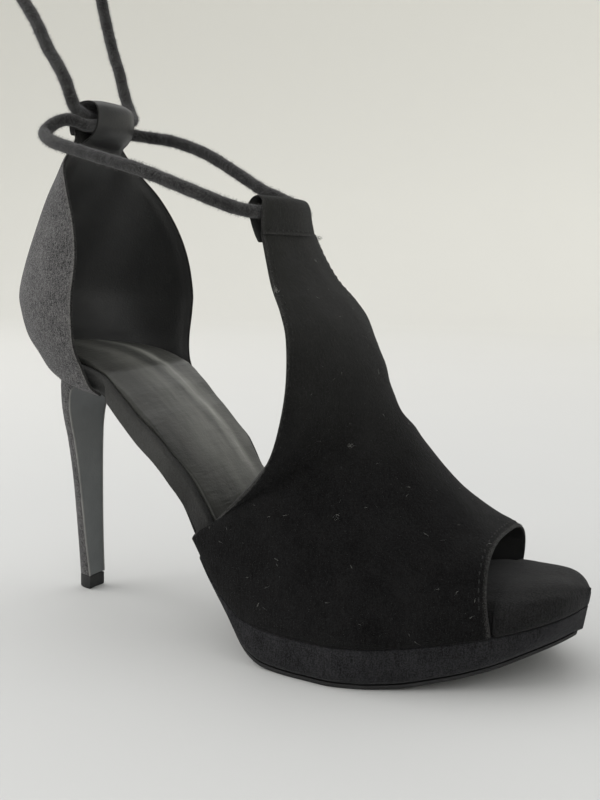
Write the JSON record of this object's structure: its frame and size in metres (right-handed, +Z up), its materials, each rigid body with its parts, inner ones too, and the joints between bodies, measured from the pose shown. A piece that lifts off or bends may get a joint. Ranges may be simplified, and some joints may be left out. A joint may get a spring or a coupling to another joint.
{
  "type": "lace up heeled sandal",
  "caption": "Black suede open-toe sandal on a covered platform and a slim high heel, with a T-strap, a closed heel counter and one suede cord tie run through both tabs.",
  "frame": {"origin": "on the floor, at the middle of the forefoot's flat tread", "axes": "+X from heel to toe, +Y to the inner side of the foot, +Z up"},
  "size_m": [0.2072, 0.0814, 0.2319],
  "materials": {
    "suede": "deep black suede with a short brushed nap, no shine",
    "counter_suede": "black suede whose nap reads warm grey where it is combed back",
    "insole_cover": "black suede wrapped over the insole board's edge",
    "sock_leather": "dark grey sock lining with a soft lengthwise sheen and fine cross wrinkles",
    "heel_wrap": "black wrap, satin smooth on the breast",
    "outsole_rubber": "matt black rubber sheet",
    "tip_rubber": "matt black top piece",
    "cord_suede": "rolled black suede cord with a fuzzy surface"
  },
  "bodies": {
    "root": {"outsole": "outsole_rubber", "platform": "suede", "insole": "insole_cover", "sock": "sock_leather", "vamp": "suede", "counter": "counter_suede", "heel": "heel_wrap", "heel_tip": "tip_rubber", "tie_outer": "cord_suede", "tie_inner": "cord_suede", "knot_outer": "cord_suede", "knot_inner": "cord_suede"}
  },
  "joints": []
}
